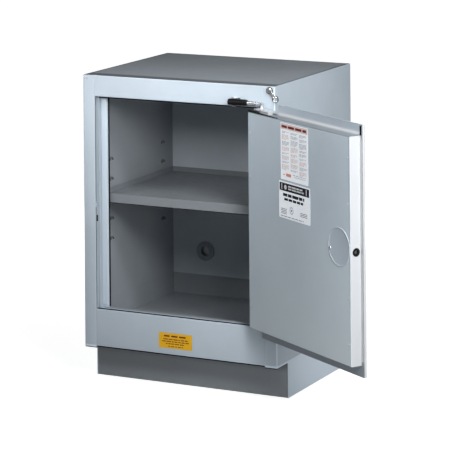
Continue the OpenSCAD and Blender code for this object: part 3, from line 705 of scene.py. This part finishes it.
side_panel(-1)
side_panel(1)
painted_shadow_strips()
seam_backs()
shelf_shadow_strip()
header_and_sill()
top_cover()
dress(BODY, "back_panel", "hinge_stile")
dress(LINER, "liner_left", "liner_right", "liner_top", "sump_tray", "bottom_panel")
dress(LINER_BACK, "liner_back")
dress(SHELF_SHADE, "shelf", soften=0.4 * MM)
dress(HOOK, "wall_hooks", soften=0.4 * MM)
dress(TOE, "toe_kick", "base_rail_left", "base_rail_right", "base_rail_rear")
dress(ZINC, "hinge_leaf_frame", "hinge_leaf_door", "hinge_pin", "latch_spring", "handle_pin")
dress(ZINC, "shelf_brackets", "latch_case", "closer_screws", soften=0.3 * MM)
dress(CHROME, "closer_bracket", soften=0.3 * MM)
dress(SEAL, "stop_gasket", soften=0.4 * MM)
dress(RUBBER_AND_SHADOW, "bolt_bush", soften=0.2 * MM)
dress(CAST, "vent_collars", "vent_plug_lower", "vent_plug_upper", soften=0.6 * MM)
dress(MESH, "flame_screens")
dress(BRASS, "ground_stud", "ground_nut", soften=0.3 * MM)
dress(BLACK, "handle_cup", "handle_paddle", soften=0.5 * MM)
dress(CHROME, "lock_cylinder", "link_stud", "door_bracket_bolts", soften=0.3 * MM)
dress(ZINC, "door_bracket", soften=0.3 * MM)
dress(STEEL, "latch_bolt")
dress(DOOR_IN, "door_stiffener")


# ---------------------------------------------------------------- door

def door_pans():
    plug = [(0, PLUG_Z0), (PLUG_W, PLUG_Z0), (PLUG_W, PLUG_Z1), (0, PLUG_Z1)]
    inner = pan("inner_pan", plug, PLUG_IN, LIP_Y - 0.1 * MM, 3 * MM, DOOR, SHEET, (-5.2 * MM, 8 * MM))
    cut(inner, lathe("bolt_way", rod_profile(10.1 * MM, 10 * MM, 0.1 * MM),
                     (PLUG_W - 5 * MM, BOLT_Y, LATCH_Z), (1, 0, 0), DOOR))
    place(inner, "door", DOOR_FACE, "door_paint", "door_inner_pan")
    free_way = DOOR.to_3x3() @ Vector((1, 0, 0))
    # Painted highlight tint on the faces of the inner pan's free edge.
    paint_where(inner, DOOR_EDGE, lambda face: face.normal.dot(free_way) > 0.8)
    # Painted shade on the inner pan's upward faces.
    paint_where(inner, DOOR_TOP_SHADE, lambda face: face.normal.z > 0.3)
    skin = [(PAN_X0, PAN_Z0), (PAN_X1, PAN_Z0), (PAN_X1, PAN_Z1), (NOTCH_X, PAN_Z1), (NOTCH_X, NOTCH_Z),
            (PAN_X0, NOTCH_Z)]
    outer = pan("outer_pan", skin, SKIN_Y, LIP_Y, 2.5 * MM, DOOR)
    cut(outer, block("handle_way", (HANDLE_X - 48 * MM, 0, LATCH_Z - 35 * MM),
                     (HANDLE_X + 48 * MM, 20 * MM, LATCH_Z + 35 * MM), DOOR, 4 * MM),
        lathe("lock_way", rod_profile(11.1 * MM, 20 * MM, 0.1 * MM), (HANDLE_X, 0, LOCK_Z), (0, 1, 0), DOOR))
    rim = PLUG_Z1 - 10 * MM
    relief = PLUG_W + 4.5 * MM
    lips = [block("lip", (PAN_X0, LIP_Y, PAN_Z0), (PAN_X1, LIP_Y + SHEET, PLUG_Z0 + 10 * MM), DOOR),
            block("lip", (NOTCH_X, LIP_Y, rim), (relief, LIP_Y + SHEET, PAN_Z1), DOOR),
            block("lip", (PAN_X1 - 3.5 * MM, LIP_Y, rim), (PAN_X1, LIP_Y + SHEET, PAN_Z1), DOOR),
            block("lip", (PLUG_W - 10 * MM, LIP_Y, PLUG_Z0 + 10 * MM), (PAN_X1, LIP_Y + SHEET, rim), DOOR)]
    place(join("outer_door_pan", [outer] + lips), "door", DOOR_IN, "door_paint", "door_outer_pan")
    free_side = DOOR.inverted()
    outer = bpy.data.objects["outer_door_pan"]
    # Painted highlight tint on the outer pan's free side.
    paint_where(outer, DOOR_EDGE, lambda face: (free_side @ face.center).x > PLUG_W - 1 * MM)
    # Painted shade on the outer pan's lower flange.
    paint_where(outer, DOOR_FOOT_SHADE, lambda face: face.center.z < PLUG_Z0 + 1 * MM)


def door_cove():
    """Rolled fillet where the upper lip meets the top of the inner pan."""
    r, steps = 12 * MM, 8
    arc = []
    for k in range(steps + 1):
        a = math.pi / 2 * k / steps
        arc.append((LIP_Y - r + r * math.sin(a), PLUG_Z1 + 0.2 * MM + r * (1 - math.cos(a))))
    obj = fold("door_cove", arc, (NOTCH_X + 2 * MM, PLUG_W), "yz", -0.8 * MM, 0.1 * MM, DOOR)
    place(obj, "door", COVE, "door_paint")
    # Painted shadow: a black block in the open end of the cove.
    gap = block("cove_end", (PLUG_W + 0.4 * MM, LIP_Y - 0.5 * MM, PLUG_Z1 + 1 * MM),
                (PAN_X1 - 3.6 * MM, LIP_Y + 0.5 * MM, PAN_Z1 - 3 * MM), DOOR)
    place(gap, "door", RUBBER_AND_SHADOW, "gasket_rubber")
    # Painted shadow: a black wedge on the inner pan's top by the hinge.
    wedge = [(0, 5), (150, 1), (150, -0.5), (0, -0.5)]
    verts = [(u * MM, PLUG_IN + deep * MM, PLUG_Z1 + up * MM) for deep in (1.5, 4) for u, up in wedge]
    faces = [(0, 1, 2, 3), (7, 6, 5, 4)] + [(i, 4 + i, 4 + (i + 1) % 4, (i + 1) % 4) for i in range(4)]
    place(new_object("head_shadow_strip", verts, faces, DOOR), "door", RUBBER_AND_SHADOW, "gasket_rubber")


def dome_profile(radius, height, steps=6):
    """Closed outline of a low domed head, starting at height 0."""
    curve = [(radius * math.cos(math.pi / 2 * k / steps), height * (0.35 + 0.65 * math.sin(math.pi / 2 * k / steps)))
             for k in range(steps)]
    return [(0, 0), (radius, 0)] + curve + [(0, height)]


def cross_head(name, at, axis, radius, height, matrix=None):
    """Domed screw head with a cross recess, standing on the point given."""
    head = lathe(name, dome_profile(radius, height), (0, 0, 0), (0, 0, 1), None, 32)
    arm, slot = 0.62 * radius, 0.16 * radius
    deep = 0.45 * height
    cut(head, block("recess", (-arm, -slot, deep), (arm, slot, 2 * height)),
        block("recess", (-slot, -arm, deep), (slot, arm, 2 * height)))
    turn = Vector(axis).to_track_quat("Z", "Y").to_matrix().to_4x4()
    head.data.transform((matrix or Matrix()) @ Matrix.Translation(Vector(at)) @ turn)
    return head


def cover_plate():
    """Round service cover with a rolled rim, and its screw."""
    r, bead = COVER_R, 1.5 * MM
    rim = [(r - bead + bead * math.cos(a), 0.4 * MM + 0.7 * MM * math.sin(a))
           for a in (math.pi * k / 8 for k in range(9))]
    profile = [(0, 0), (r, 0)] + rim + [(r - 4 * MM, 0.3 * MM), (0, 0.3 * MM)]
    at = (COVER_X, PLUG_IN - 0.1 * MM, COVER_Z)
    place(lathe("cover_plate", profile, at, (0, -1, 0), DOOR, 96), "cover", DOOR_IN, "door_paint", "access_cover")
    screw = cross_head("cover_screw_head", (COVER_X - 42 * MM, PLUG_IN - 0.6 * MM, COVER_Z - 9 * MM), (0, -1, 0),
                       4.2 * MM, 2.4 * MM, DOOR)
    place(screw, "door", CHROME, "plated_steel", "cover_screw")


def screw_heads():
    heads = [cross_head("head", (x, PLUG_IN, z * MM), (0, -1, 0), 2.4 * MM, 1.3 * MM, DOOR)
             for z in (269, 388, 632, 751) for x in (12 * MM, PLUG_W - 10 * MM)]
    place(join("door_screw_heads", heads), "door", ZINC, "plated_steel", "door_screws")
    side, top = HALF_W - 20 * MM, TOP - 20 * MM
    spots = [(s * side, z * MM) for z in (160, 330, 560, 790) for s in (-1, 1)]
    spots += [(x * MM, z) for x in (-230, -77, 77, 230) for z in (18 * MM, top)]
    heads = [cross_head("head", (x, BACK, z), (0, 1, 0), 4 * MM, 2.2 * MM) for x, z in spots]
    place(join("frame_screw_heads", heads), "cabinet", ZINC, "plated_steel", "frame_screws")


door_pans()
door_cove()
cover_plate()
screw_heads()


# ---------------------------------------------------------------- closer

def closer():
    """Damper body with a crimped end, its rod and the eye, along the closer's own axis."""
    swing = joint("closer_swing")
    slide = joint("closer_rod_slide")
    along = Vector(slide["axis"])
    pivot = Vector(swing["pos_m"])
    r, tail, nose = 9 * MM, 18 * MM, 34 * MM
    start = pivot - along * tail
    long = tail + nose
    crimp = 1.4 * MM
    tube = [(0, 0), (r - 0.8 * MM, 0), (r, 0.8 * MM), (r, long - 9 * MM), (r - crimp, long - 8 * MM),
            (r - crimp, long - 6 * MM), (r, long - 5 * MM), (r, long - 1.5 * MM), (r - 1.5 * MM, long),
            (6.1 * MM, long), (6.1 * MM, 3 * MM), (0, 3 * MM)]
    body = lathe("closer_body", tube, start, along)
    gland = lathe("gland", ring_profile(6.1 * MM, 8 * MM, 3 * MM, 0.6 * MM), pivot + along * nose, along)
    wiper = lathe("wiper", ring_profile(6.05 * MM, 7.6 * MM, 3 * MM, 0.5 * MM), pivot + along * (nose + 3 * MM), along)
    pins = [lathe("trunnion", rod_profile(3 * MM, 3.4 * MM, 0.5 * MM), pivot + Vector((0, 0, s * 8 * MM)), (0, 0, s))
            for s in (-1, 1)]
    place(join("closer_damper", [body, gland, wiper] + pins), "closer_body", BLACK, "black_metal", "closer_cylinder")
    eye = DOOR @ Vector((18 * MM, 5 * MM, 0))
    eye.z = pivot.z
    rod_start = eye - along * 50 * MM
    shaft = [(0, 0), (5.4 * MM, 0), (6 * MM, 0.6 * MM), (6 * MM, 26 * MM), (5 * MM, 26.6 * MM),
             (5 * MM, 28.4 * MM), (6 * MM, 29 * MM), (6 * MM, 35.5 * MM), (4.8 * MM, 36.8 * MM),
             (3.2 * MM, 37 * MM), (3.2 * MM, 45 * MM), (0, 45 * MM)]
    rod = lathe("rod", shaft, rod_start, along)
    ring = lathe("eye", ring_profile(3.1 * MM, 6.5 * MM, 5 * MM, 0.9 * MM), eye - Vector((0, 0, 2.5 * MM)), (0, 0, 1))
    place(join("closer_rod_and_eye", [rod, ring]), "closer_rod", CHROME, "bright_chrome", "closer_rod")


def fusible_link():
    """Two thin plates soldered face to face, with a washer at the stud and a ring below."""
    stud = Vector(joint("link_swing")["pos_m"])
    stud.y = FRONT - 5.4 * MM
    hang = Matrix.Translation(stud) @ Matrix.Rotation(math.radians(52), 4, "Y")
    long, plate = 29 * MM, 1.6 * MM
    washer = lathe("washer", ring_profile(3.1 * MM, 8 * MM, plate, 0.5 * MM), (0, 0, 0), (0, 1, 0), hang)
    front = block("front_plate", (5 * MM, 0, -4.6 * MM), (17 * MM, plate, 4.6 * MM), hang, 0.5 * MM)
    rear = block("rear_plate", (11 * MM, plate, -4.6 * MM), (long - 7.4 * MM, 2 * plate, 4.6 * MM), hang, 0.5 * MM)
    bead = 1.9 * MM
    ring_r = 6.6 * MM
    turns = [2 * math.pi * k / 12 for k in range(12)]
    circle = [(ring_r + bead * math.cos(a), bead * math.sin(a)) for a in turns]
    ring = lathe("ring", circle, (long, 1.5 * plate, 0), (0, 1, 0), hang)
    place(join("fusible_link_parts", [washer, front, rear, ring]), "link", CHROME, "bright_chrome", "fusible_link")
    # Painted shade: black rings behind the washer and the ring.
    behind = 1.7 * plate
    shade_rings = [lathe("shade_ring", ring_profile(5 * MM, 10 * MM, 0.6 * MM, 0.1 * MM), (x, behind, 0), (0, 1, 0), hang)
                   for x in (0, long)]
    place(join("link_shade_rings", shade_rings), "link", RUBBER_AND_SHADOW, "gasket_rubber")


closer()
fusible_link()


# ---------------------------------------------------------------- labels

LABEL_T = 0.25 * MM
INK_T = 0.08 * MM


def sheet_of_film(name, w, h, r, matrix, steps=4):
    """Thin rounded rectangle from (0, 0) to (w, h), facing -Y."""
    outline = []
    for cx, cz, start in ((w - r, h - r, 0), (r, h - r, 1), (r, r, 2), (w - r, r, 3)):
        for k in range(steps + 1):
            a = math.pi / 2 * (start + k / steps)
            outline.append((cx + r * math.cos(a), cz + r * math.sin(a)))
    count = len(outline)
    verts = [(x, y, z) for y in (0, LABEL_T) for x, z in outline]
    faces = [tuple(range(count)), tuple(range(2 * count - 1, count - 1, -1))]
    faces += [(i, (i + 1) % count, (i + 1) % count + count, i + count) for i in range(count)]
    return new_object(name, verts, faces, matrix)


def printed(name, matrix, rects):
    """Flat printed bars, each (x0, z0, x1, z1) in millimetres from the label's lower corner."""
    parts = [block("bar", (x0 * MM, -INK_T, z0 * MM), (x1 * MM, 0.01 * MM, z1 * MM), matrix)
             for x0, z0, x1, z1 in rects]
    return join(name, parts)


def words(x0, x1, z, high, rng, longest=16, gap=2.0):
    """A row of bars of mixed length, like a line of print."""
    row = []
    x = x0
    while x < x1 - 2:
        end = min(x1, x + rng.uniform(0.35, 1) * longest)
        row.append((x, z, end, z + high))
        x = end + gap
    return row


def paragraph(x0, x1, z_top, lines, pitch, high, rng):
    rows = []
    for n in range(lines):
        stop = x1 if n < lines - 1 else x0 + (x1 - x0) * rng.uniform(0.4, 0.9)
        rows += words(x0, stop, z_top - n * pitch, high, rng, 13, 1.2)
    return rows


def label(node, piece, body, film_material, slot, matrix, size):
    obj = sheet_of_film(piece, size[0] * MM, size[1] * MM, 2 * MM, matrix)
    place(obj, body, film_material, slot, node)


def door_labels():
    rng = random.Random(12)
    face = PLUG_IN - 0.3 * MM
    chart = DOOR @ Matrix.Translation((170 * MM, face, low("chart_label").z))
    w, h = 135.5, 152.5
    label("chart_label", "chart_film", "door", WHITE_FILM, "label_white", chart, (w, h))
    band = [(1.5, h - 17, w - 1.5, h - 1.5)]
    place(printed("chart_band", chart, band), "door", BAND, "label_white")
    over = chart @ Matrix.Translation((0, -0.04 * MM, 0))
    title = words(6, w - 6, h - 13, 6.5, rng, 40, 5)
    place(printed("chart_title", over, title), "door", INK_RED, "label_white")
    grey_rows, orange_rows = [], []
    for column in range(3):
        x0 = 6 + column * 43.5
        z = h - 24
        while z > 34 - 8 * column:
            lines = rng.randint(2, 5)
            target = orange_rows if rng.random() < 0.55 else grey_rows
            target += paragraph(x0, x0 + 36, z, lines, 3.1, 1.7, rng)
            z -= lines * 3.1 + 2.6
    grey_rows += words(62, w - 8, 17, 1.8, rng) + words(68, w - 12, 12, 1.8, rng)
    place(printed("chart_columns_grey", chart, grey_rows), "door", INK_SOFT, "label_white")
    place(printed("chart_columns_orange", chart, orange_rows), "door", INK_PALE, "label_white")
    place(printed("chart_mark", chart, [(26, 10, 52, 18), (12, 12, 20, 15)]), "door", INK_ORANGE, "label_white")

    notice = DOOR @ Matrix.Translation((160.5 * MM, face, low("notice_label").z))
    w, h = 153.5, 98.5
    label("notice_label", "notice_film", "door", WHITE_FILM, "label_white", notice, (w, h))
    dark = [(3, h - 25, w - 4, h - 3.5)]
    dark += words(20, w - 28, h - 39, 8, rng, 34, 3) + words(26, w - 34, h - 50, 6.5, rng, 24, 3)
    place(printed("notice_dark", notice, dark), "door", INK_BLACK, "label_white")
    over = notice @ Matrix.Translation((0, -0.04 * MM, 0))
    light = words(46, w - 34, h - 13, 4.5, rng, 22, 2.5) + words(46, w - 30, h - 19.5, 4, rng, 26, 2.5)
    light += [(12, h - 22, 16, h - 6), (w - 20, h - 22, w - 16, h - 6)]
    place(printed("notice_light", over, light), "door", INK_WHITE, "label_white")
    fine = [(10, 24 - 4.2 * n, 38, 26 - 4.2 * n) for n in range(4)]
    fine += [(w - 48, 25 - 4.2 * n, w - 14, 27 - 4.2 * n) for n in range(3)]
    fine += words(8, w - 30, 4.5, 2.2, rng, 20, 3)
    place(printed("notice_fine", notice, fine), "door", INK_GREY, "label_white")
    flat = notice @ Matrix.Translation((0, -INK_T, 0))
    disc = lathe("notice_disc", ring_profile(0.2 * MM, 6.5 * MM, INK_T, 0.02 * MM),
                 (32 * MM, -0.04 * MM, (h - 14.5) * MM), (0, -1, 0), flat)
    place(disc, "door", INK_WHITE, "label_white")
    ring = lathe("notice_ring", ring_profile(7.5 * MM, 9.5 * MM, INK_T, 0.02 * MM),
                 (62 * MM, 0, 25 * MM), (0, -1, 0), notice)
    dot = lathe("notice_dot", ring_profile(0.2 * MM, 3.5 * MM, INK_T, 0.02 * MM),
                (62 * MM, 0, 25 * MM), (0, -1, 0), notice)
    place(join("notice_emblem", [ring, dot]), "door", INK_GREY, "label_white")


def sill_label():
    rng = random.Random(5)
    lo = low("sill_label")
    at = Matrix.Translation(lo)
    w, h = 105, 43
    label("sill_label", "sill_film", "cabinet", YELLOW_FILM, "label_yellow", at, (w, h))
    rows = words(16, 90, 32, 4.5, rng, 24, 5)
    for n, inset in enumerate((14, 10, 22)):
        rows += words(inset, w - inset, 24 - 6.2 * n, 2.6, rng, 15, 2.4)
    rows += words(30, 76, 4.5, 2.2, rng, 12, 3)
    place(printed("sill_print", at, rows), "cabinet", INK_BROWN, "label_yellow")


door_labels()
sill_label()


# ---------------------------------------------------------------- floor, light and camera

def studio_floor():
    """A pale floor that the camera sees as nearly white, with the object's soft shadow on it."""
    size = 30
    obj = new_object("floor", [(-size, -size, 0), (size, -size, 0), (size, size, 0), (-size, size, 0)], [(0, 1, 2, 3)])
    s = Shader("studio_floor")
    tint = s.mix(s.spread(s.noise(0.8, 3.0), 0.3, 0.7, 0.0, 1.0), rgb(0.44, 0.44, 0.44), rgb(0.47, 0.47, 0.47))
    seen = s.add("ShaderNodeLightPath").outputs["Is Camera Ray"]
    distance = s.add("ShaderNodeVectorMath", operation="LENGTH", Vector=s.coords).outputs["Value"]
    glow = s.mix(s.spread(distance, 0.8, 2.5, 0.0, 1.0), rgb(0.84, 0.84, 0.84), rgb(1, 1, 1))
    obj.data.materials.append(s.finish(Base_Color=tint, Roughness=0.9, Emission_Color=glow, Emission_Strength=seen))


def softbox(name, place_at, aim, size, power, spread=math.pi):
    light = bpy.data.lights.new(name, "AREA")
    light.shape = "RECTANGLE"
    light.size, light.size_y = size
    light.energy = power
    light.spread = spread
    obj = bpy.data.objects.new(name, light)
    obj.location = place_at
    obj.rotation_euler = (Vector(aim) - Vector(place_at)).to_track_quat("-Z", "Y").to_euler()
    obj.visible_camera = False
    bpy.context.scene.collection.objects.link(obj)


def studio_light():
    """Soft key lights high on the right, weak fill, and a white backdrop that only the camera sees."""
    world = bpy.data.worlds.new("studio")
    bpy.context.scene.world = world
    world.use_nodes = True
    tree = world.node_tree
    fill = tree.nodes["Background"]
    fill.inputs[0].default_value = (0.97, 0.98, 1.0, 1)
    fill.inputs[1].default_value = 0.055
    white = tree.nodes.new("ShaderNodeBackground")
    white.inputs[0].default_value = (1, 1, 1, 1)
    path = tree.nodes.new("ShaderNodeLightPath")
    choose = tree.nodes.new("ShaderNodeMixShader")
    tree.links.new(path.outputs["Is Camera Ray"], choose.inputs[0])
    tree.links.new(fill.outputs[0], choose.inputs[1])
    tree.links.new(white.outputs[0], choose.inputs[2])
    tree.links.new(choose.outputs[0], tree.nodes["World Output"].inputs[0])
    softbox("key_high", (1.15, -1.1, 2.1), (0.2, -0.25, 0.5), (0.5, 0.5), 20)
    softbox("key_middle", (1.3, -1.5, 1.47), (0.2, -0.25, 0.5), (0.55, 0.55), 15)
    softbox("key_low", (1.9, -1.5, 1.4), (0.2, -0.25, 0.5), (0.5, 0.5), 8.2)
    softbox("top_left", (-0.75, -1.15, 1.25), (-0.25, -0.26, 0.85), (0.4, 0.4), 0.6, math.radians(60))
    softbox("top_middle", (0.0, -1.15, 1.25), (0.0, -0.26, 0.88), (0.6, 0.3), 0.7, math.radians(60))
    softbox("door_edge", (1.6, -1.5, 0.5), (0.68, -0.54, 0.45), (0.4, 0.9), 1.75, math.radians(90))
    softbox("side_high", (1.6, 0.1, 1.7), (0.3, 0, 0.7), (0.7, 0.7), 3.4)
    softbox("left", (-2.2, 0.4, 0.9), (-0.3, 0, 0.5), (0.9, 0.9), 8)
    softbox("rear", (-1.0, 2.4, 0.55), (0, 0.25, 0.5), (1.6, 0.6), 16)


def shift_camera():
    """A view camera: level, its film shifted down, as product photographers use it.

    The shift belongs to this one standpoint. A driver takes it off when the camera is
    moved elsewhere, so that the other views stay centred.
    """
    data = bpy.data.cameras.new("camera")
    cam = bpy.data.objects.new("camera", data)
    bpy.context.scene.collection.objects.link(cam)
    bpy.context.scene.camera = cam
    stand = Vector((3.2000, -6.3010, 1.8494))
    turn, roll = math.radians(26.70), math.radians(-0.478)
    cam.rotation_mode = "QUATERNION"
    cam.location = stand
    cam.rotation_quaternion = (Matrix.Rotation(turn, 3, "Z") @ Matrix.Rotation(math.pi / 2, 3, "X")
                               @ Matrix.Rotation(roll, 3, "Z")).to_quaternion()
    data.lens = 194.57
    data.clip_start, data.clip_end = 0.1, 100
    mark = bpy.data.objects.new("standpoint", None)
    mark.location = stand
    bpy.context.scene.collection.objects.link(mark)
    driver = data.driver_add("shift_y").driver
    driver.type = "AVERAGE"
    away = driver.variables.new()
    away.name = "away"
    away.type = "LOC_DIFF"
    away.targets[0].id = cam
    away.targets[1].id = mark
    curve = data.animation_data.drivers[0]
    for modifier in list(curve.modifiers):
        curve.modifiers.remove(modifier)
    film_drop, moved = -1.0919, 0.05
    for at, value in ((-1, film_drop), (moved, 0), (100, 0)):
        curve.keyframe_points.insert(at, value).interpolation = "CONSTANT"


studio_floor()
studio_light()
shift_camera()
bpy.context.scene.view_settings.view_transform = "Standard"
